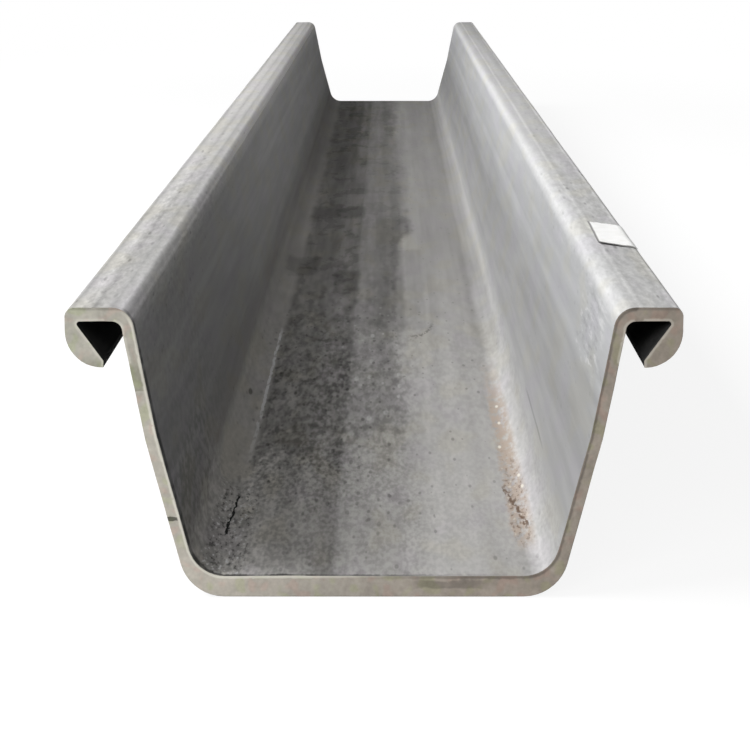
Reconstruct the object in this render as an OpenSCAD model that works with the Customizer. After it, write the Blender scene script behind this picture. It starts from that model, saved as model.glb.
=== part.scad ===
// Hot-rolled U-section steel sheet pile, lying on its web with the trough open upwards.
// One rolled piece: a thick web, two thinner flanges that spread as they rise, and on each
// flange a lip that ends in a claw. The next pile in a wall is turned over, and its claw
// slides endwise into this hook, so both hooks are the same shape and are mirrored.
// X runs across the pile, Y along it and Z up. The origin is under the middle of the web.

/* [Pile] */
// Length that the pile is cut to
pile_length = 6000; // [1000:100:18000]
// Distance between the two interlock lines, which is what one pile adds to a wall
interlock_pitch = 400; // [350:5:500]
// Height from the underside of the web to the top of the lips
pile_height = 211; // [180:1:260]

/* [Web and flanges] */
// Width of the web's underside between its sharp corners
web_width = 267; // [220:1:310]
// Thickness of the web
web_thickness = 15.5; // [10:0.1:20]
// Thickness of the flanges, square to their faces
flange_thickness = 9.5; // [7:0.1:12]
// Height of the slight knee where each flange turns steeper
knee_height = 115; // [90:1:140]
// How far the knee stands out from a straight flange
knee_bulge = 3.5; // [0:0.1:8]
// Radius outside the corner of web and flange
web_outer_radius = 33; // [20:0.5:45]
// Radius inside the corner of web and flange
web_inner_radius = 26; // [12:0.5:35]

/* [Interlock hooks] */
// Thickness of the lip on top of each flange
lip_thickness = 10.5; // [8:0.1:13]
// Distance from the interlock line in to the flange, under the lip
throat_depth = 17.8; // [16:0.1:24]
// Distance from the interlock line out to the side of the claw
claw_overhang = 22; // [19:0.1:26]
// Distance from the side of the claw back to its tip
claw_reach = 28.5; // [26:0.1:31]
// Depth from the top of the lip to the bottom of the claw
claw_depth = 44; // [40:0.1:50]
// Radius of the claw's round back
claw_radius = 27; // [20:0.1:30]
// Lean of the claw's flat bearing face from upright, in degrees
bearing_lean = 36.5; // [32:0.1:42]
// Play between the bearing faces of two hooked piles, and between a claw and the other lip
interlock_play = 2; // [1:0.1:4]

/* [Hook edges] */
// Radius inside the corner of lip and flange
throat_radius = 7; // [3:0.5:10]
// Radius on the trough side of the bend from flange to lip
bend_radius = 16.5; // [8:0.5:24]
// Radius on the outer top edge of the lip
lip_edge_radius = 7; // [2:0.5:10]
// Radius in the root where the bearing face meets the lip
root_radius = 1.6; // [0.5:0.1:3]
// Radius on both edges of the claw's tip
tip_radius = 1; // [0.4:0.1:2]

/* [Hidden] */
$fn = 96;
// Each arc laps the two faces that it joins by this, so that it meets them at a definite point
arc_lap = 0.002;

// Levels, and distances from the middle plane
interlock_x = interlock_pitch / 2;
lip_under = pile_height - lip_thickness;
claw_bottom = pile_height - claw_depth;
claw_side = interlock_x + claw_overhang;
tip_x = claw_side - claw_reach;
// Two hooked piles turn into each other about this height, on the interlock line
interlock_height = (lip_under + claw_bottom - interlock_play) / 2;

// Outer face of a flange: web corner, knee and throat
web_corner = [web_width / 2, 0];
throat = [interlock_x - throat_depth, lip_under];
knee = web_corner + (throat - web_corner) * knee_height / lip_under + [knee_bulge, 0];
lower_run = unit(knee - web_corner);
upper_run = unit(throat - knee);

// Flat bearing face of a claw, which keeps half the play from the interlock line
function bearing_x(z) = interlock_x + interlock_play / 2
    + (z - interlock_height) * tan(bearing_lean);
bearing_root = [bearing_x(lip_under), lip_under];
tip_corner = [tip_x, interlock_height - (bearing_x(interlock_height) - tip_x) / tan(bearing_lean)];

// The claw's back ends where the rounding of its tip and of the lip's edge begins
claw_back_radius = min(claw_radius, claw_reach - tip_radius, claw_depth - lip_edge_radius);

// Vectors in the plane of the section
function unit(v) = v / norm(v);
function left_of(v) = [-v.y, v.x];

// Inner face of a flange, one thickness in from the outer one
function inner_x(start, run, z) =
    let (p = start + flange_thickness * left_of(run))
    p.x + (z - p.y) * run.x / run.y;
inner_knee = let (a = left_of(lower_run), b = left_of(upper_run))
    knee + flange_thickness * (a + b) / (1 + a * b);

// Right half of the section, from the underside of the web round to its top: [sharp corner, radius]
right_corners = [
    [web_corner, web_outer_radius],
    [knee, 0],
    [throat, throat_radius],
    [bearing_root, root_radius],
    [tip_corner, tip_radius],
    [[tip_x, claw_bottom], tip_radius],
    [[claw_side, claw_bottom], claw_back_radius],
    [[claw_side, pile_height], lip_edge_radius],
    [[inner_x(throat, upper_run, pile_height), pile_height], bend_radius],
    [inner_knee, 0],
    [[inner_x(web_corner, lower_run, web_thickness), web_thickness], web_inner_radius],
];
left_corners = [
    for (i = [len(right_corners) - 1:-1:0])
        let (p = right_corners[i][0])
        [[-p.x, p.y], right_corners[i][1]]
];
corners = concat(right_corners, left_corners);

// Neighbours of a corner round the closed section, as directions away from it
function corner_at(i) = corners[(i + len(corners)) % len(corners)][0];
function to_previous(i) = unit(corner_at(i - 1) - corner_at(i));
function to_next(i) = unit(corner_at(i + 1) - corner_at(i));
function is_convex(i) = cross(to_next(i), to_previous(i)) > 0;
function is_rounded(i) = corners[i][1] > 0;

// What lies between a sharp corner and its arc. It reaches past the corner by a margin, out of
// the section at a convex corner and into it at a concave one, and winds the way the section does.
module corner_spandrel(i, margin = 1) {
    corner = corner_at(i);
    radius = corners[i][1];
    sides = is_convex(i) ? [to_previous(i), to_next(i)] : [to_next(i), to_previous(i)];
    half_angle = acos(sides[0] * sides[1]) / 2;
    middle = unit(sides[0] + sides[1]);
    tangent_length = radius / tan(half_angle);
    difference() {
        polygon([
            corner + sides[0] * tangent_length,
            corner - middle * margin,
            corner + sides[1] * tangent_length,
        ]);
        translate(corner + middle * radius / sin(half_angle)) circle(radius + arc_lap);
    }
}

// The rolled section, in the plane of its end
module section() {
    places = [for (i = [0:len(corners) - 1]) if (is_rounded(i)) i];
    difference() {
        union() {
            polygon([for (c = corners) c[0]]);
            for (i = places) if (!is_convex(i)) corner_spandrel(i);
        }
        for (i = places) if (is_convex(i)) corner_spandrel(i);
    }
}

module sheet_pile() {
    color([0.5, 0.5, 0.49])
        rotate([90, 0, 0])
            linear_extrude(height = pile_length, center = true)
                section();
}

sheet_pile();
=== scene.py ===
import math

import bpy
import numpy as np
from mathutils import Matrix, Vector, geometry


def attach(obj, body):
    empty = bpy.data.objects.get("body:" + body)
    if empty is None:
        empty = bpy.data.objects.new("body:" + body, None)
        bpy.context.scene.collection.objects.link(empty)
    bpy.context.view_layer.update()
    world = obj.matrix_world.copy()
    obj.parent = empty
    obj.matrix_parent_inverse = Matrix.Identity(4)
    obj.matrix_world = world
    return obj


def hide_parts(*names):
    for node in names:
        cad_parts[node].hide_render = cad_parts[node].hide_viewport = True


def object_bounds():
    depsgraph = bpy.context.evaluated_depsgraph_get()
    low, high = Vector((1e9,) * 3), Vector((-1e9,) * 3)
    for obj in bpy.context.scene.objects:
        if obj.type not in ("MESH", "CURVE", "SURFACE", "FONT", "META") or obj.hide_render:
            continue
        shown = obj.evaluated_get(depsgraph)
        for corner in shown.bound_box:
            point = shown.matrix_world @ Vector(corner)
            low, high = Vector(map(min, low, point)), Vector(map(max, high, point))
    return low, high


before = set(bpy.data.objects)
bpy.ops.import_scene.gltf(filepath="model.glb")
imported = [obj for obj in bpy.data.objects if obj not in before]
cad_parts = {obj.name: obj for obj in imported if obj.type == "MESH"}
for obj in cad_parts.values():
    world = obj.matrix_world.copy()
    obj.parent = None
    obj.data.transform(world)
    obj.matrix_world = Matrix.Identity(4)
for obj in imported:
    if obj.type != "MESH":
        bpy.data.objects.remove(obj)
cad_low, cad_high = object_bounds()
scene = bpy.context.scene

# The photograph's frame and viewpoint: a long lens, above the pile and square to its near end
IMAGE_PX = 750
FOCAL_PX = 3350
VANISHING_PX = (388.5, -93.0)    # where the pile's length runs to, from the picture's top left corner
CAMERA_BACK = 2.3805             # metres from the near end
CAMERA_UP = 0.4947
CAMERA_RIGHT = 0.0105

NEAR_Y, FAR_Y = cad_low.y, cad_high.y
LENGTH = FAR_Y - NEAR_Y
HALF_HEIGHT = cad_high.z / 2

# The skin's mesh
FINEST_EDGE = 0.0035             # around the section
RIM_DEPTH = 0.0008               # of the worn edge of a cut end
FACE_STEP = 0.0025               # between points of a cut face
FACE_MARGIN = 0.0014             # that those points keep from the rim
LONGEST_ROW = 0.06               # along the pile
HOOK_ROOM = 0.06                 # that a point inside a hook has before it, at most
ROLLING_DEPTH = 0.0003           # that the uneven rolled surface lies under the nominal one, on average
RIM_INSET = 0.0005               # of a cut end's worn edge
BURR_INSET = 0.0004              # more than that, on the trough's side


def link(obj):
    scene.collection.objects.link(obj)
    return obj


# Smooth random fields, the same on every run

LATTICE = 512                    # points, after which the values repeat


def lattice(seed, cells):
    """Random values on integer points."""
    table = np.random.default_rng(seed).random((LATTICE, LATTICE))
    return table[cells[0] % LATTICE, cells[1] % LATTICE]


def field(u, v, seed):
    """Value noise from -1 to 1 over two coordinates, with features about 1 apart."""
    u, v = np.broadcast_arrays(u, v)
    iu, iv = np.floor(u).astype(int), np.floor(v).astype(int)
    fu, fv = u - iu, v - iv
    fu, fv = fu * fu * (3 - 2 * fu), fv * fv * (3 - 2 * fv)
    low = lattice(seed, (iu, iv)) * (1 - fu) + lattice(seed, (iu + 1, iv)) * fu
    high = lattice(seed, (iu, iv + 1)) * (1 - fu) + lattice(seed, (iu + 1, iv + 1)) * fu
    return (low * (1 - fv) + high * fv) * 2 - 1


# The section, read from the CAD solid

STEPS_PER_METRE = 1e6            # to which points are rounded, so that shared ones are the same


def section_outline(cad):
    """The near end's outline as rows of x and z, with the steel on its left.

    It starts at the middle of the trough's floor.
    """
    mesh = cad.data
    points = np.array([v.co for v in mesh.vertices])
    keys = [tuple(k) for k in np.round(points[:, [0, 2]] * STEPS_PER_METRE).astype(int)]
    near = points[:, 1] < points[:, 1].min() + 1e-4
    mesh.calc_loop_triangles()
    open_edges = set()
    for tri in mesh.loop_triangles:
        if all(near[v] for v in tri.vertices):
            a, b, c = (keys[v] for v in tri.vertices)
            for edge in ((a, b), (b, c), (c, a)):
                if edge[::-1] in open_edges:
                    open_edges.remove(edge[::-1])
                else:
                    open_edges.add(edge)
    following = dict(open_edges)
    loop = [min(following)]
    while following[loop[-1]] != loop[0]:
        loop.append(following[loop[-1]])
    loop = np.array(loop) / STEPS_PER_METRE
    ahead = np.roll(loop, -1, axis=0)
    if np.sum(loop[:, 0] * ahead[:, 1] - loop[:, 1] * ahead[:, 0]) < 0:
        loop = loop[::-1]
        ahead = np.roll(loop, -1, axis=0)
    leftward = np.flatnonzero((loop[:, 0] > 0) & (ahead[:, 0] <= 0))
    first = leftward[np.argmax(loop[leftward, 1])]
    return np.vstack([[0, loop[first, 1]], np.roll(loop, -(first + 1), axis=0)])


def divided(loop, most):
    """The loop with each edge cut so that none is longer than most. Its own points stay."""
    out = []
    for a, b in zip(loop, np.roll(loop, -1, axis=0)):
        parts = max(1, math.ceil(np.linalg.norm(b - a) / most))
        out += [a + (b - a) * k / parts for k in range(parts)]
    return np.array(out)


outline = divided(section_outline(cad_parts["sheet_pile"]), FINEST_EDGE)
around = len(outline)
edges = np.roll(outline, -1, axis=0) - outline
edge_lengths = np.linalg.norm(edges, axis=1)
full_girth = edge_lengths.sum()
# Distance round the section from the middle of the trough's floor, negative on the left
girth = np.concatenate([[0], np.cumsum(edge_lengths)[:-1]])
girth = np.where(girth <= full_girth / 2, -girth, full_girth - girth)
runs = edges / edge_lengths[:, None]
tangent = runs + np.roll(runs, 1, axis=0)
tangent /= np.linalg.norm(tangent, axis=1)[:, None]
outward = np.column_stack([tangent[:, 1], -tangent[:, 0]])

# Where the parts of the section begin and end, as such distances on the right.
# On the left they are negative.
level = (outward[:, 1] > 0.999) & (girth > 0)
FLOOR_EDGE = girth[level & (outline[:, 1] < HALF_HEIGHT)].max()
LIP_INNER = girth[level & (outline[:, 1] > HALF_HEIGHT)].min()
LIP_OUTER = girth[level & (outline[:, 1] > HALF_HEIGHT)].max()
FILLET_END = FLOOR_EDGE + 0.034
BEND_START = LIP_INNER - 0.023
OUTSIDE = LIP_OUTER + 0.012


def room_before(points, normals, farthest=0.2):
    """How far each point of the outline can go straight out before it meets steel."""
    room = np.full(len(points), farthest)
    for a, run in zip(outline, edges):
        across = normals[:, 0] * run[1] - normals[:, 1] * run[0]
        with np.errstate(divide="ignore", invalid="ignore"):
            reach = ((a[0] - points[:, 0]) * run[1] - (a[1] - points[:, 1]) * run[0]) / across
            along = ((a[0] - points[:, 0]) * normals[:, 1] - (a[1] - points[:, 1]) * normals[:, 0]) / across
        met = (reach > 1e-4) & (along >= 0) & (along <= 1)
        room[met] = np.minimum(room[met], reach[met])
    return room


room = room_before(outline, outward)

# The skin: the rolled surface between two cut ends

def rows_along():
    """Distances from the near end, close together at both ends."""
    near = [RIM_DEPTH, 0.002, 0.0036]
    step = 0.002
    while near[-1] < LENGTH * 0.6:
        near.append(near[-1] + step)
        step = min(step * 1.1, LONGEST_ROW)
    far = [RIM_DEPTH, 0.002]
    step = 0.003
    while far[-1] < LENGTH - near[-1] - 0.03:
        far.append(far[-1] + step)
        step = min(step * 1.3, LONGEST_ROW)
    return np.array(near + [LENGTH - d for d in reversed(far)])


def inside(points, loop):
    """Which of the points lie inside the loop."""
    ahead = np.roll(loop, -1, axis=0)
    hits = np.zeros(len(points), bool)
    for (ax, az), (bx, bz) in zip(loop, ahead):
        if az != bz:
            between = (points[:, 1] < az) != (points[:, 1] < bz)
            hits ^= between & (points[:, 0] < ax + (points[:, 1] - az) * (bx - ax) / (bz - az))
    return hits


def cut_face(rim, seed):
    """A mesh of the cut face inside its rim.

    Gives its points as x and z, its triangles, wound as the rim is, and the sources of each point.
    """
    rng = np.random.default_rng(seed)
    low, high = rim.min(0), rim.max(0)
    columns, levels = (np.arange(low[k], high[k], FACE_STEP) for k in (0, 1))
    grid = np.stack(np.meshgrid(columns, levels), -1).reshape(-1, 2)
    grid = grid + rng.uniform(-0.3, 0.3, grid.shape) * FACE_STEP
    grid = grid[inside(grid, rim)]
    clear = np.array([np.min(np.sum((rim - p) ** 2, axis=1)) for p in grid]) > FACE_MARGIN ** 2
    points = np.vstack([rim, grid[clear]])
    count = len(rim)
    ring = [(i, (i + 1) % count) for i in range(count)]
    out = geometry.delaunay_2d_cdt([Vector(p) for p in points], ring, [], 1, 1e-9)
    return np.array([list(p) for p in out[0]]), [tuple(t) for t in out[2]], out[3]


def nearest(points, others):
    """How far each of the points is from the nearest of the others."""
    return np.min(np.linalg.norm(points[:, None] - others[None], axis=2), axis=1)


rows = rows_along()
skin_girth, skin_along = np.meshgrid(girth, rows)
relief = (
    0.00022 * field(skin_girth / 0.055, skin_along / 0.35, 11)
    + 0.0001 * field(skin_girth / 0.02, skin_along / 0.09, 12)
    - ROLLING_DEPTH
)
# The underside of the web stays flat
relief *= np.clip(7.2 - 8 * np.abs(skin_girth) / (full_girth / 2), 0, 1)
shell = np.stack([
    outline[None, :, 0] + outward[None, :, 0] * relief,
    NEAR_Y + skin_along,
    outline[None, :, 1] + outward[None, :, 1] * relief,
], -1)
verts = [tuple(p) for p in shell.reshape(-1, 3)]
faces, slots = [], []
for r in range(len(rows) - 1):
    for i in range(around):
        j = (i + 1) % around
        faces.append((r * around + i, r * around + j, (r + 1) * around + j, (r + 1) * around + i))
        slots.append(0)

trough_side = np.abs(girth) < LIP_INNER
hook_side = (np.abs(girth) > LIP_OUTER) & (room < HOOK_ROOM)
burr_reach = [0.0] * len(verts)
hook_reach = [0.0] * len(verts)
for end_y, row, sign, seed in ((NEAR_Y, 0, 1, 21), (FAR_Y, len(rows) - 1, -1, 22)):
    inset = RIM_INSET + BURR_INSET * trough_side + 0.0002 * field(girth / 0.008, girth * 0, seed)
    rim = outline - outward * inset[:, None]
    points, triangles, origins = cut_face(rim, seed)
    waves = 0.00015 * field(points[:, 0] / 0.012, points[:, 1] / 0.012, seed + 5)
    base = len(verts)
    verts += [(x, end_y + sign * (0.0002 + w), z) for (x, z), w in zip(points, waves)]
    for reach, side in ((burr_reach, trough_side), (hook_reach, hook_side)):
        reach[row * around:(row + 1) * around] = nearest(outline, outline[side])
        reach.extend(nearest(points, rim[side]))
    for a, b, c in triangles:
        faces.append((base + a, base + b, base + c) if sign > 0 else (base + a, base + c, base + b))
        slots.append(1)
    place = {source: k for k, sources in enumerate(origins) for source in sources}
    for i in range(around):
        j = (i + 1) % around
        quad = (base + place[i], base + place[j], row * around + j, row * around + i)
        faces.append(quad if sign > 0 else quad[::-1])
        slots.append(1)

skin_mesh = bpy.data.meshes.new("sheet_pile_skin")
skin_mesh.from_pydata(verts, [], faces)
skin_mesh.polygons.foreach_set("material_index", slots)
skin_mesh.polygons.foreach_set("use_smooth", [True] * len(faces))
skin_mesh.set_sharp_from_angle(angle=math.radians(30))


def note_points(mesh, name, values):
    """Keeps a number for each point of the mesh, for its material to read. Points past the list have 0."""
    full = np.zeros(len(mesh.vertices))
    full[:len(values)] = values
    mesh.attributes.new(name, "FLOAT", "POINT").data.foreach_set("value", full)


note_points(skin_mesh, "girth", np.tile(girth, len(rows)))
note_points(skin_mesh, "room", np.tile(room, len(rows)))
note_points(skin_mesh, "burr_reach", burr_reach)
note_points(skin_mesh, "hook_reach", hook_reach)
# The girth rolled into a circle and the distance from the near end, so that a pattern has no seam
turn_radius = full_girth / (2 * math.pi)
wrapped = np.zeros((len(verts), 3))
wrapped[:len(rows) * around] = np.stack([
    turn_radius * np.sin(skin_girth / turn_radius),
    skin_along,
    turn_radius * np.cos(skin_girth / turn_radius),
], -1).reshape(-1, 3)
skin_mesh.attributes.new("wrapped", "FLOAT_VECTOR", "POINT").data.foreach_set("vector", wrapped.ravel())
skin = link(bpy.data.objects.new("sheet_pile_skin", skin_mesh))


# Materials

class Nodes:
    """A shader's node tree. Each call takes numbers or sockets and gives back a socket."""

    def __init__(self, tree):
        self.tree = tree

    def feed(self, socket, value):
        if isinstance(value, bpy.types.NodeSocket):
            self.tree.links.new(value, socket)
        else:
            socket.default_value = value

    def add(self, kind, inputs, **settings):
        node = self.tree.nodes.new("ShaderNode" + kind)
        for name, value in settings.items():
            setattr(node, name, value)
        for key, value in inputs.items():
            self.feed(node.inputs[key], value)
        return node

    def attribute(self, name, output="Fac"):
        return self.add("Attribute", {}, attribute_name=name).outputs[output]

    def math(self, operation, *values):
        return self.add("Math", dict(enumerate(values)), operation=operation).outputs[0]

    def times(self, first, *others):
        for other in others:
            first = self.math("MULTIPLY", first, other)
        return first

    def most(self, first, *others):
        for other in others:
            first = self.math("MAXIMUM", first, other)
        return first

    def ramp(self, value, start, end, low=0.0, high=1.0):
        """Eases from low to high while value goes from start to end."""
        sockets = {"Value": value, "From Min": start, "From Max": end, "To Min": low, "To Max": high}
        return self.add("MapRange", sockets, interpolation_type="SMOOTHSTEP").outputs["Result"]

    def between(self, value, start, end, soft):
        """1 from start to end, easing to 0 over soft on both sides."""
        return self.times(self.ramp(value, start - soft, start), self.ramp(value, end + soft, end))

    def shifted(self, value, noise, reach):
        """The value, moved by the noise by up to reach either way."""
        return self.math("ADD", value, self.math("MULTIPLY_ADD", noise, 2 * reach, -reach))

    def blended(self, share, first, second):
        """From the first number to the second while share goes from 0 to 1."""
        return self.math("MULTIPLY_ADD", share, self.math("SUBTRACT", second, first), first)

    def stretched(self, where, size, seed):
        """A place counted in steps of that size, as metres across and along the pile."""
        scale = (1 / size[0], 1 / size[1], 1 / size[0])
        shift = (seed * 7.13, seed * 3.71, seed * 5.39)
        return self.add("Mapping", {"Vector": where, "Location": shift, "Scale": scale}).outputs[0]

    def noise(self, where, size, seed, detail=2.0, rough=0.5):
        """A noise with features of that size."""
        place = self.stretched(where, size, seed)
        inputs = {"Vector": place, "Scale": 1.0, "Detail": detail, "Roughness": rough}
        return self.add("TexNoise", inputs).outputs["Fac"]

    def spots(self, where, size, seed, share, largest, soft=0.6):
        """Round spots of many sizes in a share of the cells of that size.

        The largest is a part of a cell in radius.
        """
        place = self.stretched(where, size, seed)
        cell = self.add("TexVoronoi", {"Vector": place, "Scale": 1.0}, voronoi_dimensions="2D").outputs
        chance = self.add("SeparateColor", {0: cell["Color"]}).outputs["Red"]
        radius = self.ramp(chance, 1 - share, 1.0, 0.0, largest)
        return self.ramp(self.math("SUBTRACT", radius, cell["Distance"]), 0.0, largest * soft)

    def varied(self, *parts):
        """1, moved up and down by each noise times its share."""
        total = 1 - sum(share for _, share in parts) / 2
        for noise, share in parts:
            total = self.math("MULTIPLY_ADD", noise, share, total)
        return total

    def stops(self, value, table):
        """The colour at value, between the colours that the table gives."""
        low, high = table[0][0], table[-1][0]
        node = self.add("ValToRGB", {0: self.math("DIVIDE", self.math("SUBTRACT", value, low), high - low)})
        elements = node.color_ramp.elements
        while len(elements) < len(table):
            elements.new(0.5)
        for element, (place, colour) in zip(elements, table):
            element.position = (place - low) / (high - low)
            element.color = (*colour, 1)
        return node.outputs["Color"]

    def level(self, value, table):
        """The number at value, between the numbers that the table gives."""
        top = max(number for _, number in table)
        return self.times(self.stops(value, [(place, (number / top,) * 3) for place, number in table]), top)

    def mix(self, factor, a, b, blend="MIX"):
        colours = [(*c, 1) if isinstance(c, tuple) else c for c in (a, b)]
        inputs = {0: factor, 6: colours[0], 7: colours[1]}
        node = self.add("Mix", inputs, data_type="RGBA", blend_type=blend)
        return node.outputs[2]


class Finish(Nodes):
    """One material, whose colour is laid on in steps."""

    def __init__(self, name):
        self.material = bpy.data.materials.new(name)
        self.material.use_nodes = True
        super().__init__(self.material.node_tree)
        self.shader = self.tree.nodes["Principled BSDF"]

    def scale(self, factor):
        """Multiplies the colour by a number or a colour."""
        self.colour = self.mix(1.0, self.colour, factor, "MULTIPLY")

    def sway(self, change, strength):
        """Multiplies the colour by 1 plus the change times its strength."""
        self.scale(self.math("MULTIPLY_ADD", change, strength, 1.0))

    def darken(self, mask, share):
        self.scale(self.math("SUBTRACT", 1.0, self.times(mask, share)))

    def tint(self, mask, factor):
        self.colour = self.mix(mask, self.colour, self.mix(1.0, self.colour, factor, "MULTIPLY"))

    def cover(self, mask, colour):
        self.colour = self.mix(mask, self.colour, colour)

    def finish(self, roughness, height, depth, specular=0.1):
        """Joins the colour, roughness and bump to the shader. The height from 0 to 1 is depth metres."""
        bump = self.add("Bump", {"Height": height, "Distance": depth, "Strength": 1.0})
        self.feed(self.shader.inputs["Base Color"], self.colour)
        self.feed(self.shader.inputs["Roughness"], roughness)
        self.feed(self.shader.inputs["Normal"], bump.outputs[0])
        self.shader.inputs["Specular IOR Level"].default_value = specular
        return self.material


def grey(value, warm=0.0):
    """A grey, a little warmer or cooler."""
    return (value * (1 + warm), value, value * (1 - 1.4 * warm))


# Where the band of scale on the left of the floor ends
SCALE_EDGE = -0.031
# The rolled surface's tone round the section, on each side between the middle of the trough's floor
# and the middle of the underside. It holds painted light as well: painted highlights on the bends by
# the lips and on the right fillet, painted light on the left fillet and on the right lip's outer corner
# against the shade there, and painted shade in the left flange's darker tone.
LEFT_TONES_AND_PAINTED_LIGHT = [
    (-full_girth / 2, grey(0.30, 0.02)),
    (-OUTSIDE - 0.02, grey(0.32, 0.01)),
    (-OUTSIDE, grey(0.42, 0.01)),
    (-LIP_OUTER - 0.0055, grey(0.40, 0.01)),
    (-LIP_OUTER - 0.0038, grey(0.36, 0.01)),
    (-LIP_OUTER - 0.0010, grey(0.54, 0.015)),
    (-LIP_OUTER + 0.0030, grey(0.58, 0.015)),
    (-LIP_OUTER + 0.009, grey(0.49, 0.015)),
    (-LIP_OUTER + 0.0125, grey(0.375, 0.015)),
    (-LIP_INNER - 0.009, grey(0.455, 0.015)),
    (-LIP_INNER - 0.001, grey(0.455, 0.015)),
    (-LIP_INNER + 0.002, grey(0.46, 0.01)),
    (-LIP_INNER + 0.0046, grey(0.395, 0.01)),
    # Painted highlight on the left bend, where the surface turns down from the lip to the flange
    (-LIP_INNER + 0.0066, grey(0.55, 0.01)),
    (-LIP_INNER + 0.0104, grey(0.84, 0.01)),
    (-LIP_INNER + 0.0124, grey(0.66, 0.01)),
    (-LIP_INNER + 0.0165, grey(0.66, 0.01)),
    (-BEND_START - 0.003, grey(0.88, 0.01)),
    (-BEND_START, grey(0.48, 0.01)),
    # The left flange, darker than the right one partly as painted shade
    (-BEND_START + 0.014, grey(0.315)),
    (-0.215, grey(0.255)),
    (-FILLET_END - 0.024, grey(0.245, 0.01)),
    (-FILLET_END - 0.008, grey(0.27, 0.02)),
    # Painted light: the left fillet and the floor's left edge made lighter against the shade of the left
    # flange
    (-FILLET_END + 0.002, grey(0.40, 0.03)),
    (-FLOOR_EDGE - 0.010, grey(0.465, 0.03)),
    (-FLOOR_EDGE, grey(0.60, 0.03)),
    (-FLOOR_EDGE + 0.020, grey(0.58, 0.03)),
    (SCALE_EDGE - 0.009, grey(0.26, 0.03)),
    (SCALE_EDGE - 0.0015, grey(0.24, 0.03)),
    (SCALE_EDGE + 0.0025, grey(0.325, 0.025)),
    (-0.010, grey(0.37, 0.025)),
    (0.0, grey(0.355, 0.025)),
]
RIGHT_TONES_AND_PAINTED_LIGHT = [
    (0.0, grey(0.355, 0.025)),
    (0.020, grey(0.335, 0.025)),
    (0.050, grey(0.44, 0.02)),
    (FLOOR_EDGE - 0.010, grey(0.37, 0.02)),
    (FLOOR_EDGE + 0.004, grey(0.34, 0.02)),
    # Painted highlight along the right fillet
    (FLOOR_EDGE + 0.010, grey(0.45, 0.015)),
    (FLOOR_EDGE + 0.016, grey(0.48, 0.01)),
    (FLOOR_EDGE + 0.021, grey(0.42, 0.01)),
    (FLOOR_EDGE + 0.028, grey(0.395, 0.01)),
    (FILLET_END + 0.012, grey(0.330)),
    (FILLET_END + 0.070, grey(0.285)),
    (BEND_START - 0.050, grey(0.36, -0.01)),
    # Painted highlight on the right bend
    (BEND_START - 0.003, grey(0.46, -0.01)),
    (BEND_START + 0.006, grey(0.64)),
    (LIP_INNER - 0.012, grey(0.57)),
    (LIP_INNER - 0.005, grey(0.47)),
    (LIP_INNER - 0.0018, grey(0.62, 0.005)),
    (LIP_INNER + 0.0004, grey(0.58, 0.005)),
    (LIP_INNER + 0.0024, grey(0.465, 0.005)),
    (LIP_OUTER - 0.012, grey(0.50, 0.005)),
    (LIP_OUTER - 0.003, grey(0.455, 0.005)),
    (LIP_OUTER, grey(0.435, 0.005)),
    # Painted light on the right lip's outer corner, which turns away from the lamps into shade
    (LIP_OUTER + 0.003, grey(0.50, 0.005)),
    (LIP_OUTER + 0.0050, grey(0.66, 0.005)),
    (LIP_OUTER + 0.0068, grey(0.88, 0.005)),
    (OUTSIDE + 0.002, grey(0.70, 0.005)),
    (OUTSIDE + 0.02, grey(0.36, 0.01)),
    (full_girth / 2, grey(0.30, 0.02)),
]
# What that tone is multiplied by far from the near end
FAR_TONES = [
    (-LIP_OUTER, 1.10),
    (-LIP_INNER, 1.30),
    (-LIP_INNER + 0.0086, 0.90),
    (-BEND_START - 0.006, 1.42),
    (-BEND_START + 0.010, 1.90),
    (-0.190, 1.85),
    (-FILLET_END - 0.024, 1.36),
    (-FILLET_END - 0.010, 1.20),
    (-FILLET_END, 0.95),
    (-FLOOR_EDGE - 0.022, 0.82),
    (-FLOOR_EDGE, 1.20),
    (-0.095, 1.12),
    (-0.080, 0.94),
    (-0.060, 1.02),
    (SCALE_EDGE, 1.12),
    (-0.010, 1.10),
    (0.020, 1.10),
    (0.040, 0.82),
    (0.060, 0.70),
    (FLOOR_EDGE, 0.76),
    (FLOOR_EDGE + 0.014, 0.56),
    (FLOOR_EDGE + 0.019, 0.66),
    (FILLET_END, 1.15),
    (0.165, 0.99),
    (0.215, 1.02),
    (0.245, 1.20),
    (BEND_START, 1.18),
    (LIP_INNER - 0.010, 0.97),
    (LIP_INNER, 1.18),
    (LIP_OUTER, 1.10),
]
# How strong the mottling is, and how dark the pits are
SPECKLE = [
    (-OUTSIDE, 0.07),
    (-LIP_INNER, 0.07),
    (-LIP_INNER + 0.010, 0.05),
    (-FILLET_END, 0.07),
    (-FLOOR_EDGE - 0.004, 0.09),
    (-FLOOR_EDGE + 0.003, 0.30),
    (SCALE_EDGE - 0.003, 0.30),
    (SCALE_EDGE + 0.003, 0.22),
    (0.020, 0.16),
    (0.045, 0.075),
    (FLOOR_EDGE - 0.010, 0.060),
    (FLOOR_EDGE + 0.012, 0.08),
    (FILLET_END, 0.06),
    (FILLET_END + 0.020, 0.06),
    (0.200, 0.06),
    (BEND_START, 0.05),
    (LIP_INNER, 0.05),
    (OUTSIDE, 0.06),
]
PITTING = [
    (-LIP_OUTER, 0.38),
    (-LIP_INNER, 0.34),
    (-BEND_START, 0.25),
    (-0.250, 0.08),
    (-FILLET_END, 0.10),
    (-FLOOR_EDGE, 0.35),
    (FLOOR_EDGE - 0.006, 0.30),
    (FILLET_END, 0.05),
    (BEND_START, 0.10),
    (LIP_INNER, 0.34),
    (LIP_OUTER, 0.42),
]
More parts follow.
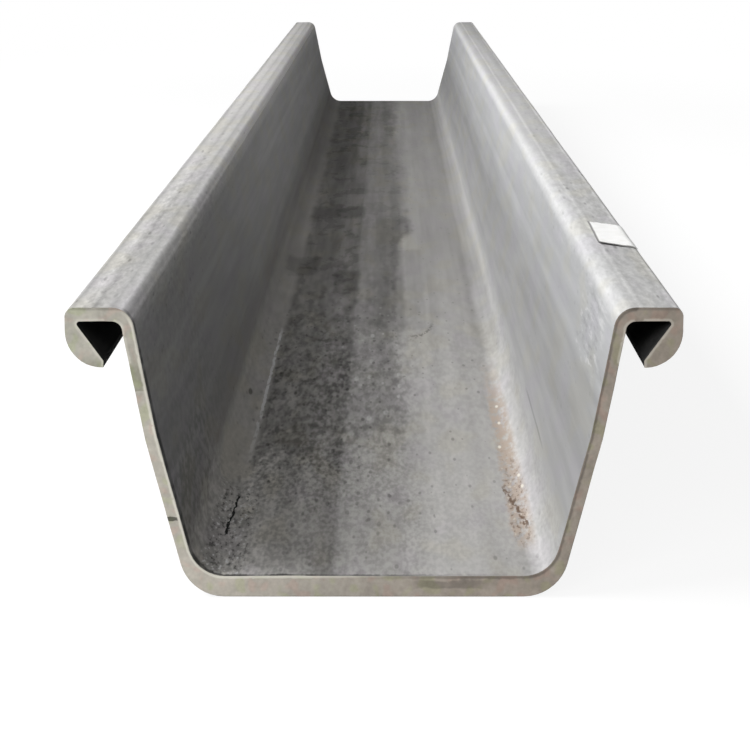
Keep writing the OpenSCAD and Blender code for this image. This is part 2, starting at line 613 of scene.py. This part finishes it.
# How strong the fine marks on the lips are
LIP_MARKS = [
    (-LIP_OUTER, 0.05),
    (-0.351, 0.16),
    (-0.342, 0.16),
    (-LIP_INNER, 0.08),
    (-BEND_START, 0.13),
    (-BEND_START + 0.03, 0.0),
    (BEND_START - 0.03, 0.0),
    (BEND_START, 0.05),
    (LIP_INNER, 0.10),
    (LIP_OUTER, 0.13),
]
# How far the film of scale reaches over the floor's middle, by distance from the near end
FILM_REACH = [
    (0.8, 0.025),
    (1.5, 0.016),
    (2.0, 0.019),
    (2.42, 0.026),
    (2.62, 0.047),
    (2.80, 0.037),
    (4.3, 0.030),
    (6.0, 0.023),
]
# How dark the band of scale is, and how dense the film beside it, across the floor
BAND_DEPTH = [(-FLOOR_EDGE, 0.45), (-0.096, 0.38), (-0.080, 0.22), (SCALE_EDGE, 0.20)]
FILM_DENSITY = [(SCALE_EDGE, 0.6), (-0.018, 0.65), (0.0, 0.95), (0.02, 1.0)]
# How far the dark line by the cut reaches, on both sides, and how dark it is
CUT_LINE_REACH = [(FLOOR_EDGE, 0.007), (FILLET_END, 0.020), (0.26, 0.020), (BEND_START, 0.013)]
CUT_LINE_DEPTH = [
    (-LIP_INNER, 0.0),
    (-BEND_START, 0.70),
    (-0.20, 0.85),
    (-0.05, 0.75),
    (0.02, 0.40),
    (FLOOR_EDGE, 0.0),
]

# Places of single marks: across is round the section, as above, and along is from the near end.
# A leaning mark is placed where it would meet that end, and its lean is subtracted for each metre along.

# Darker parts of the film: from and to across and along, how soft their edges are, and how dark they are
FILM_SHADES = [
    ((-0.006, 0.026), (1.50, 2.75), (0.007, 0.14), 0.20),
    ((0.018, 0.052), (1.44, 2.30), (0.006, 0.06), 0.15),
]
# Stains: from and to across and along
STAINS = [
    ((-0.108, -0.030), (2.84, 2.98)),
    ((-0.124, -0.085), (2.04, 2.18)),
    ((-0.057, -0.031), (1.84, 2.02)),
]
# The ellipse whose nearer right quarter is the tide mark
TIDE_MIDDLE, TIDE_REACH = (0.039, 1.51), (0.0225, 0.145)
# Between which places that mark comes up from nothing, across and along
TIDE_RISE_ACROSS, TIDE_RISE_ALONG = (0.030, 0.042), (1.52, 1.42)
# The step in tone beyond it: where it comes up and dies away across, and from and to along
STEP_RISE, STEP_FALL, STEP_ALONG = (0.0595, 0.0610), (0.062, 0.076), (1.58, 1.95)
# Flecks of bare steel, dark and light mottling, and the darker reaches further off
FLECKS_ACROSS, FLECKS_ALONG = (-0.036, 0.020), (0.80, 1.45)
MOTTLED_ACROSS, MOTTLED_ALONG = (-FLOOR_EDGE, 0.010), (0.45, 1.3)
LEFT_REACH_ACROSS, LEFT_REACH_RISE = (-FILLET_END, -0.055), (3.0, 4.2)
RIGHT_REACH_ACROSS, RIGHT_REACH_ALONG = (FLOOR_EDGE + 0.002, FILLET_END - 0.010), (1.45, 2.1)
# Stronger speckle in the near left corner, and dashes up the flange from it
CORNER_ACROSS, CORNER_ALONG = (-0.185, -FLOOR_EDGE - 0.006), (0.0, 0.34)
DASHES_ACROSS, DASHES_ALONG = (-0.295, -0.150), (0.0, 0.50)
KNEE_LINE_ACROSS = (0.256, 0.261)
# The rust: from and to across, and where it comes up and dies away along
RUST_ACROSS, RUST_RISE, RUST_FALL = (0.1115, 0.1205), (0.07, 0.17), (0.7, 1.25)
STREAK_ACROSS, STREAK_ALONG, STREAK_LEAN = (0.1303, 0.1323), (0.20, 0.36), 0.0667
BLISTERS = [(0.115, 0.824), (0.114, 0.720), (0.110, 0.584), (0.121, 0.416), (0.122, 0.360)]
BLISTER_REACH = (0.0019, 0.011)
BARE_LINE_ACROSS, BARE_LINE_ALONG = (-0.1124, -0.1104), (0.62, 1.35)
DARK_SPOT, DARK_SPOT_REACH = (-0.127, 0.888), (0.0034, 0.028)
GRIT_ACROSS, GRIT_ALONG = (-0.124, -0.100), (0.05, 0.31)
CRACK_ACROSS, CRACK_ALONG, CRACK_LEAN = (-0.1184, -0.1170), (0.165, 0.325), -0.0165
SCUFFS_ACROSS, SCUFFS_ALONG = (0.262, 0.305), (0.12, 0.27)
SCRATCH_ACROSS, SCRATCH_ALONG = (0.1592, 0.1604), (0.42, 0.64)

RUST, DEEP_RUST, CREAM = (0.395, 0.322, 0.266), (0.13, 0.085, 0.06), (0.70, 0.67, 0.60)


class RolledSteel(Finish):
    """The hot-rolled surface."""

    def __init__(self):
        super().__init__("rolled_steel")
        self.where = self.attribute("wrapped", "Vector")
        self.at = self.attribute("girth")
        self.from_middle = self.math("ABSOLUTE", self.at)
        self.from_end = self.add("SeparateXYZ", {0: self.where}).outputs["Y"]
        self.flat = self.add("CombineXYZ", {0: self.at, 1: self.from_end}).outputs[0]
        self.ragged = self.pattern((0.03, 0.13), 6, detail=6, rough=0.65)
        self.grain = self.pattern((0.0022, 0.009), 4)
        self.dots = self.pattern((0.0032, 0.0165), 7, detail=1)
        for size, start, end in (((0.0047, 0.033), 0.2, 0.9), ((0.0100, 0.110), 0.9, 1.9)):
            coarser = self.pattern(size, 7, detail=1)
            self.dots = self.blended(self.ramp(self.from_end, start, end), self.dots, coarser)
        self.clouds = self.pattern((0.012, 0.080), 8, detail=1)
        self.specks = self.pattern((0.0030, 0.016), 13, detail=1)
        self.lay_tone()
        self.lay_mill_scale()
        self.lay_tide_mark()
        self.lay_stains()
        self.lay_flecks()
        self.lay_speckle()
        self.lay_pits()
        self.lay_rust()
        self.lay_left_fillet()
        self.lay_wear()
        self.lay_hook_shade_and_cut_line()

    def pattern(self, size, seed, detail=2.0, rough=0.5):
        return self.noise(self.where, size, seed, detail, rough)

    def swing(self, noise):
        """The noise, spread out from -1 to 1."""
        return self.ramp(noise, 0.30, 0.70, -1.0, 1.0)

    def area(self, across, along, soft=(0.004, 0.03), wander=(0.003, 0.03)):
        """1 in a part of the surface, from and to across and along it, with an uneven edge."""
        return self.times(
            self.between(self.shifted(self.at, self.ragged, wander[0]), *across, soft[0]),
            self.between(self.shifted(self.from_end, self.ragged, wander[1]), *along, soft[1]),
        )

    def away(self, place, size):
        """How far off a place is, as a part of a size. Both are given across and along."""
        side = self.math("DIVIDE", self.math("SUBTRACT", self.at, place[0]), size[0])
        ahead = self.math("DIVIDE", self.math("SUBTRACT", self.from_end, place[1]), size[1])
        return self.math("SQRT", self.math("ADD", self.times(side, side), self.times(ahead, ahead)))

    def spot(self, place, size):
        """1 in an ellipse round a place, easing to 0 at its rim."""
        return self.ramp(self.away(place, size), 1.0, 0.4)

    def lay_tone(self):
        """Tones that run along the pile, with the painted highlights and painted shade that their tables
        hold, and their drift in value and hue.
        """
        at = self.shifted(self.at, self.ragged, 0.0007)
        on_right = self.math("GREATER_THAN", at, 0.0)
        self.colour = self.mix(on_right, self.stops(at, LEFT_TONES_AND_PAINTED_LIGHT), self.stops(at, RIGHT_TONES_AND_PAINTED_LIGHT))
        farness = self.ramp(self.from_end, 0.3, 2.8)
        self.sway(farness, self.math("SUBTRACT", self.level(self.at, FAR_TONES), 1.0))
        streaks = self.pattern((0.014, 1.2), 1, detail=3)
        self.threads = self.pattern((0.005, 0.6), 2)
        mottle = self.pattern((0.05, 0.3), 3, detail=3)
        self.scale(self.varied((streaks, 0.28), (self.threads, 0.06), (mottle, 0.14), (self.grain, 0.02)))
        self.sway(self.between(self.from_middle, *KNEE_LINE_ACROSS, 0.005), 0.08)
        hue = self.pattern((0.03, 0.16), 5, detail=1)
        self.tint(self.ramp(hue, 0.52, 0.64), (1.014, 1.004, 0.962))
        self.tint(self.ramp(hue, 0.46, 0.34), (1.0, 0.988, 1.015))

    def lay_mill_scale(self):
        """A dark band of scale on the left of the floor and a thin film beside it."""
        front = self.shifted(self.shifted(self.from_end, self.ragged, 0.18), self.dots, -0.14)
        edge = self.shifted(self.at, self.dots, 0.005)
        blur = self.ramp(self.from_end, 1.0, 2.4, 0.0025, 0.010)
        from_fillet = self.math("DIVIDE", self.math("ADD", edge, FLOOR_EDGE), blur)
        self.band = self.times(
            self.ramp(from_fillet, -1.0, 1.0),
            self.ramp(edge, SCALE_EDGE + 0.0025, SCALE_EDGE - 0.0025),
            self.ramp(front, 0.42, 0.64),
        )
        film_edge = self.level(self.from_end, FILM_REACH)
        beyond = self.math("SUBTRACT", self.shifted(edge, self.ragged, 0.008), film_edge)
        film_blur = self.ramp(self.from_end, 2.6, 3.6, 0.008, 0.020)
        thin = self.ramp(front, 0.45, 0.85, 0.0, 0.72)
        thicker = self.ramp(front, 1.34, 1.5, 0.0, 0.28)
        self.film = self.times(
            self.ramp(edge, SCALE_EDGE - 0.002, SCALE_EDGE + 0.0015),
            self.ramp(self.math("DIVIDE", beyond, film_blur), 1.0, -1.0),
            self.math("ADD", thin, thicker),
            self.level(self.at, FILM_DENSITY),
        )
        self.darken(self.band, self.level(self.at, BAND_DEPTH))
        self.darken(self.film, 0.44)
        for across, along, soft, depth in FILM_SHADES:
            self.darken(self.area(across, along, soft), depth)

    def lay_tide_mark(self):
        """A broken arc on the right of the floor, and a step in tone that goes on from it."""
        ring = self.shifted(self.away(TIDE_MIDDLE, TIDE_REACH), self.specks, 0.12)
        tide = self.times(
            self.between(ring, 0.95, 1.0, 0.10),
            self.ramp(self.at, *TIDE_RISE_ACROSS),
            self.ramp(self.from_end, *TIDE_RISE_ALONG),
            self.ramp(self.specks, 0.62, 0.46, 0.15, 1.0),
        )
        self.darken(tide, 0.46)
        step = self.times(self.ramp(self.at, *STEP_RISE), self.ramp(self.at, *reversed(STEP_FALL)))
        self.darken(self.times(step, self.between(self.from_end, *STEP_ALONG, 0.10)), 0.07)

    def lay_stains(self):
        """Dark and light flakes on the scale, and stains on the floor."""
        flakes = self.shifted(self.pattern((0.04, 0.16), 10, detail=4, rough=0.6), self.dots, -0.10)
        covered = self.most(self.band, self.times(self.film, 0.6))
        self.darken(self.times(covered, self.ramp(flakes, 0.53, 0.60)), 0.25)
        self.cover(self.times(covered, self.ramp(flakes, 0.45, 0.37), 0.22), grey(0.30, 0.02))
        for across, along in STAINS:
            self.darken(self.area(across, along, (0.007, 0.06), (0.006, 0.08)), 0.30)

    def lay_flecks(self):
        """Bare and dark flecks on the nearer floor, and darker reaches on both sides further off."""
        bare = self.times(
            self.area(FLECKS_ACROSS, FLECKS_ALONG, (0.012, 0.35)),
            self.spots(self.flat, (0.015, 0.10), 19, 0.55, 0.22),
        )
        self.cover(self.times(bare, 0.50), grey(0.50, 0.01))
        mottled = self.times(
            self.between(self.at, *MOTTLED_ACROSS, 0.02),
            self.between(self.from_end, *MOTTLED_ALONG, 0.7),
        )
        dark = self.spots(self.flat, (0.0085, 0.052), 20, 0.55, 0.28)
        self.darken(self.times(mottled, dark), 0.40)
        light = self.spots(self.flat, (0.0095, 0.058), 22, 0.40, 0.24)
        self.cover(self.times(mottled, light, 0.40), grey(0.42, 0.01))
        on_left = self.between(self.at, *LEFT_REACH_ACROSS, 0.012)
        self.darken(self.times(on_left, self.ramp(self.from_end, *LEFT_REACH_RISE)), 0.28)
        self.darken(self.area(RIGHT_REACH_ACROSS, RIGHT_REACH_ALONG, (0.008, 0.40)), 0.14)

    def lay_speckle(self):
        """Mottling, in round marks near the end and drawn out along the pile further off."""
        round_marks = self.math("MULTIPLY_ADD", self.swing(self.clouds), 0.6, self.swing(self.dots))
        long_marks = self.times(self.swing(self.pattern((0.014, 0.30), 17, detail=2)), 0.8)
        on_flange = self.between(self.from_middle, FILLET_END + 0.02, BEND_START, 0.02)
        drawn_out = self.most(self.ramp(self.from_end, 1.3, 2.6), on_flange)
        marks = self.blended(drawn_out, round_marks, long_marks)
        at_corner = self.area(CORNER_ACROSS, CORNER_ALONG, (0.02, 0.14))
        on_floor = self.between(self.at, -FLOOR_EDGE, 0.020, 0.004)
        eased = self.times(on_floor, self.ramp(self.from_end, 0.45, 0.20), 0.40)
        by_place = self.times(
            self.level(self.at, SPECKLE),
            self.math("SUBTRACT", 1.0, eased),
            self.ramp(self.from_end, 1.6, 3.2, 1.0, 0.62),
        )
        strength = self.math("MULTIPLY_ADD", at_corner, 0.06, by_place)
        dashes = self.swing(self.pattern((0.006, 0.024), 23, detail=2))
        on_left = self.area(DASHES_ACROSS, DASHES_ALONG, (0.02, 0.30))
        self.sway(dashes, self.math("ADD", self.times(at_corner, 0.13), self.times(on_left, 0.06)))
        self.sway(marks, strength)

    def lay_pits(self):
        """Scattered dark pits, drawn out on the lips, and the lips' fine marks."""
        on_top = self.math("GREATER_THAN", self.from_middle, BEND_START)
        round_pits = self.spots(self.flat, (0.0105, 0.060), 11, 0.45, 0.20)
        long_pits = self.spots(self.flat, (0.0085, 0.085), 18, 0.45, 0.28, 0.8)
        pits = self.blended(on_top, round_pits, long_pits)
        fading = self.ramp(self.from_end, 0.9, 2.4, 1.0, 0.35)
        self.darken(self.times(pits, fading), self.level(self.at, PITTING))
        marks = self.swing(self.pattern((0.0042, 0.036), 24, detail=3, rough=0.6))
        marks = self.times(marks, self.ramp(self.from_end, 0.7, 2.0, 1.0, 0.35))
        self.sway(marks, self.level(self.at, LIP_MARKS))

    def lay_rust(self):
        """Pale rust along the right edge of the floor, with a dark streak and a few blisters."""
        cover = self.pattern((0.0055, 0.030), 12, detail=3, rough=0.6)
        edge = self.shifted(self.shifted(self.at, self.ragged, 0.003), cover, 0.006)
        place = self.between(edge, *RUST_ACROSS, 0.007)
        along = self.times(
            self.ramp(self.from_end, *RUST_RISE),
            self.ramp(self.from_end, *reversed(RUST_FALL)),
        )
        self.rust = self.times(place, along, self.ramp(cover, 0.28, 0.58))
        self.cover(self.times(self.rust, 0.85), RUST)
        speckled = self.times(self.rust, self.ramp(self.from_end, 0.66, 0.36))
        self.cover(self.times(speckled, self.ramp(self.specks, 0.45, 0.35), 0.62), DEEP_RUST)
        self.cover(self.times(speckled, self.ramp(self.specks, 0.60, 0.72), 0.38), CREAM)
        uneven = self.shifted(self.at, self.dots, 0.004)
        leaning = self.math("MULTIPLY_ADD", self.from_end, STREAK_LEAN, uneven)
        streak = self.times(
            self.between(leaning, *STREAK_ACROSS, 0.0015),
            self.between(self.from_end, *STREAK_ALONG, 0.03),
        )
        self.cover(self.times(streak, self.ramp(self.specks, 0.60, 0.46), 0.85), DEEP_RUST)
        for blister in BLISTERS:
            self.cover(self.times(self.spot(blister, BLISTER_REACH), 0.85), CREAM)

    def lay_left_fillet(self):
        """A thin bare line along the left edge of the floor, grit nearer the end, and a crack in it."""
        wobble = self.pattern((0.5, 0.05), 14, detail=3)
        bare = self.times(
            self.between(self.shifted(self.at, wobble, 0.0022), *BARE_LINE_ACROSS, 0.0008),
            self.between(self.from_end, *BARE_LINE_ALONG, 0.12),
        )
        thinning = self.ramp(self.from_end, 0.60, 0.95, 0.40, 0.95)
        self.cover(self.times(bare, self.ramp(self.dots, 0.30, 0.48), thinning), grey(0.95))
        self.darken(self.spot(DARK_SPOT, DARK_SPOT_REACH), 0.6)
        gritty = self.area(GRIT_ACROSS, GRIT_ALONG, (0.010, 0.12))
        grit = self.pattern((0.0030, 0.0145), 15, detail=2)
        self.darken(self.times(gritty, self.ramp(grit, 0.46, 0.33)), 0.60)
        self.cover(self.times(gritty, self.ramp(grit, 0.58, 0.70), 0.80), grey(0.95))
        leaning = self.math("MULTIPLY_ADD", self.from_end, CRACK_LEAN, self.shifted(self.at, wobble, 0.0010))
        crack = self.times(
            self.between(self.shifted(leaning, self.specks, 0.0022), *CRACK_ACROSS, 0.0004),
            self.between(self.from_end, *CRACK_ALONG, 0.02),
        )
        self.cover(self.times(crack, 0.98), grey(0.008))

    def lay_wear(self):
        """Light scuffs on the upper right flange near the end, and a scratch under them."""
        scuffs = self.pattern((0.006, 0.07), 16, detail=3, rough=0.6)
        place = self.area(SCUFFS_ACROSS, SCUFFS_ALONG, (0.012, 0.09))
        self.cover(self.times(place, self.ramp(scuffs, 0.53, 0.66), 0.40), grey(0.70))
        self.darken(self.times(place, self.ramp(scuffs, 0.46, 0.34)), 0.15)
        scratch = self.between(self.shifted(self.at, self.ragged, 0.001), *SCRATCH_ACROSS, 0.0012)
        self.darken(self.times(scratch, self.between(self.from_end, *SCRATCH_ALONG, 0.10)), 0.22)

    def lay_hook_shade_and_cut_line(self):
        """Painted shade deep in the hooks, and the dark line that the cut leaves on the trough's side."""
        # Painted shade: near black where little room is open before the surface, inside the hooks
        hook_shade = self.ramp(self.attribute("room"), 0.075, 0.045)
        self.cover(self.times(hook_shade, 0.9), grey(0.035))
        reach = self.level(self.from_middle, CUT_LINE_REACH)
        from_cut = self.math("DIVIDE", self.shifted(self.from_end, self.dots, 0.003), reach)
        broken = self.ramp(self.pattern((0.012, 0.3), 25, detail=1), 0.36, 0.52, 0.45, 1.0)
        line = self.times(self.ramp(from_cut, 1.3, 0.7), self.level(self.at, CUT_LINE_DEPTH), broken)
        self.cover(line, grey(0.03, 0.02))

    def made(self):
        roughness = self.times(self.varied((self.grain, 0.2), (self.clouds, 0.3)), 0.70)
        roughness = self.math("MULTIPLY_ADD", self.rust, 0.15, roughness)
        height = self.varied((self.dots, 0.6), (self.grain, 0.15), (self.threads, 0.15))
        return self.finish(roughness, height, 0.0002, specular=0.004)


# The cut ends' colour from left to right, and that of the burr at both sides
CUT_TONES = [
    (cad_low.x, (0.43, 0.415, 0.36)),
    (-0.1, (0.475, 0.44, 0.385)),
    (-0.03, (0.385, 0.355, 0.31)),
    (0.06, (0.345, 0.303, 0.26)),
    (cad_high.x, (0.28, 0.245, 0.205)),
]
BURR_LEFT, BURR_RIGHT = (0.70, 0.68, 0.60), (0.60, 0.57, 0.50)
# Heights on the left flange: where the torch stopped and began again, and a dark tick
RESTART_BOTTOM, RESTART_TOP = 0.1500, 0.178
TICK_HEIGHTS = (0.0560, 0.0583)
# A smear on the web
SMEAR_ACROSS, SMEAR_HEIGHTS = (0.040, 0.070), (0.007, 0.011)


def cut_steel():
    """The flame-cut ends, with a bright burr on the trough's side and a painted shadow line inside the rim
    on the right.
    """
    face = Finish("cut_steel")
    place = face.add("TexCoord", {}).outputs["Object"]
    across = face.add("SeparateXYZ", {0: place}).outputs
    x, z = across["X"], across["Z"]
    from_trough = face.attribute("burr_reach")
    blotch = face.noise(place, (0.016, 0.016), 31, detail=3, rough=0.6)
    hue = face.noise(place, (0.012, 0.012), 32, detail=1)
    drag = face.noise(place, (0.003, 0.02), 33)
    fine = face.noise(place, (0.004, 0.004), 35, detail=2)
    face.colour = face.stops(x, CUT_TONES)
    face.scale(face.varied((blotch, 0.70), (drag, 0.20), (fine, 0.35)))
    face.tint(face.ramp(hue, 0.54, 0.66), (1.06, 0.96, 0.95))
    face.tint(face.ramp(hue, 0.46, 0.34), (0.97, 1.02, 0.88))
    restart = face.times(
        face.ramp(z, RESTART_BOTTOM, RESTART_BOTTOM + 0.0008),
        face.ramp(z, RESTART_TOP, RESTART_TOP - 0.013),
        face.ramp(x, -0.15, -0.16),
    )
    face.tint(face.times(restart, 0.9), (0.66, 0.68, 0.62))
    tick = face.times(
        face.between(face.shifted(z, fine, 0.0012), *TICK_HEIGHTS, 0.0006),
        face.ramp(x, -0.1, -0.12),
        face.ramp(from_trough, 0.0010, 0.0022),
    )
    face.darken(tick, 0.75)
    smear = face.between(face.shifted(z, blotch, 0.004), *SMEAR_HEIGHTS, 0.002)
    face.darken(face.times(face.between(x, *SMEAR_ACROSS, 0.02), smear), 0.35)
    # Painted shadow: a dark line just inside the rim on the right of the face, where the gap by the edge
    # lies in shade
    face.darken(face.times(face.ramp(x, -0.04, 0.08), face.ramp(from_trough, 0.0026, 0.0008)), 0.42)
    face.darken(face.ramp(z, cad_high.z - 0.0030, cad_high.z - 0.0012), 0.3)
    width = face.times(face.ramp(x, -0.10, 0.02, 1.0, 0.5), face.ramp(z, 0.015, 0.06, 0.75, 1.0))
    burr = face.times(
        face.ramp(face.shifted(face.math("DIVIDE", from_trough, width), fine, 0.0006), 0.0026, 0.0010),
        face.ramp(z, cad_high.z - 0.001, cad_high.z - 0.012),
        face.ramp(x, 0.03, -0.09),
    )
    hook_burr = face.times(face.ramp(face.attribute("hook_reach"), 0.0026, 0.0010), 0.6)
    burr = face.times(face.most(burr, hook_burr), face.varied((blotch, 0.9)), 0.75)
    face.cover(burr, face.mix(face.ramp(x, -0.1, 0.15), BURR_LEFT, BURR_RIGHT))
    return face.finish(0.6, drag, 0.0002)


skin_mesh.materials.append(RolledSteel().made())
skin_mesh.materials.append(cut_steel())
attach(skin, "root")
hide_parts("sheet_pile")

# A blank strip of paper, stuck over the right lip and down its outer edge

# Its ends, from the near end of the pile, each at the strip's inner and its outer edge
STRIP_NEAR, STRIP_FAR = (0.455, 0.418), (0.655, 0.612)
# Those edges, round the section
STRIP_INNER, STRIP_OUTER = LIP_INNER - 0.0022, LIP_OUTER + 0.008
STRIP_SKEW = 0.0024              # that its inner edge has moved outwards at the far end
PAPER = 0.0004                   # thick, with its glue
LOOSE_LIFT = 0.0018              # of its loose near edge, at most
LOOSE_SHARE = 0.16               # of its length that has come loose


def paper_strip(columns=36, lines=40):
    """A closed sheet that follows the lip. Its near edge has come loose and its far edge is torn."""
    u, v = np.meshgrid(np.linspace(0, 1, columns), np.linspace(0, 1, lines))
    ragged_far = 0.004 * field(u * 7, u * 0, 41) + 0.0015 * field(u * 23, u * 0, 42)
    near = STRIP_NEAR[0] + (STRIP_NEAR[1] - STRIP_NEAR[0]) * u + 0.002 * field(u * 5, u * 0, 43)
    far = STRIP_FAR[0] + (STRIP_FAR[1] - STRIP_FAR[0]) * u + ragged_far
    across = STRIP_INNER + STRIP_SKEW * v * (1 - u) + (STRIP_OUTER - STRIP_INNER) * u
    y = NEAR_Y + near + (far - near) * v
    order = np.argsort(girth)
    x, z, nx, nz = (np.interp(across, girth[order], values[order])
                    for values in (outline[:, 0], outline[:, 1], outward[:, 0], outward[:, 1]))
    loose = LOOSE_LIFT * np.clip(1 - v / LOOSE_SHARE, 0, 1) ** 2 * (0.55 + 0.45 * np.cos(u * 4))
    lift = 0.0001 + loose + 0.0002 * (1 + field(u * 4, v * 6, 44))
    sheets = [np.stack([x + nx * (lift + t), y, z + nz * (lift + t)], -1) for t in (0, PAPER)]
    verts = [tuple(p) for sheet in sheets for p in sheet.reshape(-1, 3)]
    size = columns * lines
    faces = []
    for r in range(lines - 1):
        for c in range(columns - 1):
            a, b = r * columns + c, (r + 1) * columns + c
            faces.append((a, b, b + 1, a + 1))
            faces.append((size + a, size + a + 1, size + b + 1, size + b))
    border = [(0, c) for c in range(columns)]
    border += [(r, columns - 1) for r in range(1, lines)]
    border += [(lines - 1, c) for c in range(columns - 2, -1, -1)]
    border += [(r, 0) for r in range(lines - 2, 0, -1)]
    ring = [r * columns + c for r, c in border]
    for a, b in zip(ring, ring[1:] + ring[:1]):
        faces.append((a, b, size + b, size + a))
    mesh = bpy.data.meshes.new("blank_paper_strip")
    mesh.from_pydata(verts, [], faces)
    mesh.polygons.foreach_set("use_smooth", [True] * len(faces))
    mesh.set_sharp_from_angle(angle=math.radians(50))
    inner = np.minimum(u * (STRIP_OUTER - STRIP_INNER), v * (far - near) / 4)
    note_points(mesh, "margin", np.tile(inner.ravel(), 2))
    return link(bpy.data.objects.new("blank_paper_strip", mesh))


def blank_paper():
    """White paper, a little stained, with a dark margin: dirt and painted shadow along its edges."""
    sheet = Finish("blank_paper")
    place = sheet.add("TexCoord", {}).outputs["Object"]
    fibre = sheet.noise(place, (0.0015, 0.0025), 51, detail=3)
    stain = sheet.noise(place, (0.012, 0.02), 52, detail=3)
    sheet.colour = sheet.mix(sheet.ramp(stain, 0.40, 0.70), (0.97, 0.97, 0.96), (0.92, 0.92, 0.90))
    sheet.scale(sheet.varied((fibre, 0.06)))
    # The dark margin along the inner and near edges: dirt, and painted shadow of the strip's lifted edge
    sheet.cover(sheet.times(sheet.ramp(sheet.attribute("margin"), 0.0022, 0.0010), 0.85), grey(0.16, 0.02))
    return sheet.finish(0.85, fibre, 0.0001)


strip = paper_strip()
strip.data.materials.append(blank_paper())
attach(strip, "root")

# Camera

camera = link(bpy.data.objects.new("camera", bpy.data.cameras.new("camera")))
camera.data.sensor_width = 36
camera.data.lens = camera.data.sensor_width * FOCAL_PX / IMAGE_PX
camera.data.clip_end = 100
ahead = Vector((VANISHING_PX[0] - IMAGE_PX / 2, VANISHING_PX[1] - IMAGE_PX / 2, FOCAL_PX)).normalized()
across = Vector((0, 1, 0)).cross(ahead).normalized()
above = across.cross(ahead)
# Its rows are the pile's axes in camera axes: x right, y down, z ahead
turn = Matrix((across, ahead, above))
right, down, forward = (turn @ Vector(v) for v in ((1, 0, 0), (0, 1, 0), (0, 0, 1)))
camera.matrix_world = Matrix.LocRotScale(
    Vector((CAMERA_RIGHT, NEAR_Y - CAMERA_BACK, CAMERA_UP)),
    Matrix((right, -down, -forward)).transposed().to_quaternion(),
    None,
)
scene.camera = camera

# Light and surroundings

AMBIENT = 0.10
FLOOR_ALBEDO = 0.5
FLOOR_GLOW = 0.88                # of the floor as it is seen: its own white
FLOOR_SHADED = 0.20              # and what light and shadow add
FLOOR_RADIUS = 14.0
FLOOR_SIDES = 48
FLOOR_DROP = 0.0005              # under the pile's base
SHADOW_REACH = (2.4, 7.5)        # of the part that shows a shadow, across and along the pile


def seen_directly(nodes):
    """1 for a ray that shows the background: from the camera, in a reflection or through glass."""
    paths = nodes.add("LightPath", {}).outputs
    return nodes.most(paths["Is Camera Ray"], paths["Is Glossy Ray"], paths["Is Transmission Ray"])


scene.view_settings.view_transform = "Standard"
world = bpy.data.worlds.new("studio")
scene.world = world
world.use_nodes = True
sky = Nodes(world.node_tree)
background = world.node_tree.nodes["Background"]
background.inputs["Color"].default_value = (1, 1, 1, 1)
sky.feed(background.inputs["Strength"], sky.ramp(seen_directly(sky), 0.0, 1.0, AMBIENT, 1.0))


def area_light(name, place, target, size, power):
    data = bpy.data.lights.new(name, "AREA")
    data.shape = "RECTANGLE"
    data.size, data.size_y = size
    data.energy = power
    lamp = link(bpy.data.objects.new(name, data))
    lamp.location = place
    lamp.rotation_mode = "QUATERNION"
    lamp.rotation_quaternion = (Vector(target) - Vector(place)).to_track_quat("-Z", "Y")
    return lamp


area_light("key", place=(-3.5, -1.5, 3.7), target=(0, -1.5, 0.1), size=(9.0, 2.5), power=420)
area_light("front", place=(-1.5, -9.0, 2.2), target=(0, -3.0, 0.1), size=(3.0, 2.0), power=240)

floor_mesh = bpy.data.meshes.new("floor")
turns = np.linspace(0, 2 * math.pi, FLOOR_SIDES, endpoint=False)
corners = [(math.cos(a) * FLOOR_RADIUS, math.sin(a) * FLOOR_RADIUS, 0) for a in turns]
floor_mesh.from_pydata(corners, [], [tuple(range(len(corners)))])
floor = link(bpy.data.objects.new("floor", floor_mesh))
floor.location.z = -FLOOR_DROP


def studio_floor():
    """White where it is seen, apart from the pile's shadow, and grey for the light that it throws back."""
    ground = Finish("studio_floor")
    place = ground.add("TexCoord", {}).outputs["Object"]
    share = (1 / SHADOW_REACH[0], 1 / SHADOW_REACH[1], 0)
    reach = ground.add("VectorMath", {0: place, 1: share}, operation="MULTIPLY").outputs[0]
    near = ground.ramp(ground.add("VectorMath", {0: reach}, operation="LENGTH").outputs["Value"], 1.0, 0.1)
    seen = seen_directly(ground)
    albedo = ground.ramp(seen, 0.0, 1.0, FLOOR_ALBEDO, ground.times(near, FLOOR_SHADED))
    glow = ground.times(seen, ground.ramp(near, 0.0, 1.0, 1.0, FLOOR_GLOW))
    ground.feed(ground.shader.inputs["Base Color"], albedo)
    ground.feed(ground.shader.inputs["Emission Strength"], glow)
    ground.shader.inputs["Emission Color"].default_value = (1, 1, 1, 1)
    ground.shader.inputs["Specular IOR Level"].default_value = 0
    ground.shader.inputs["Roughness"].default_value = 1
    return ground.material


floor_mesh.materials.append(studio_floor())
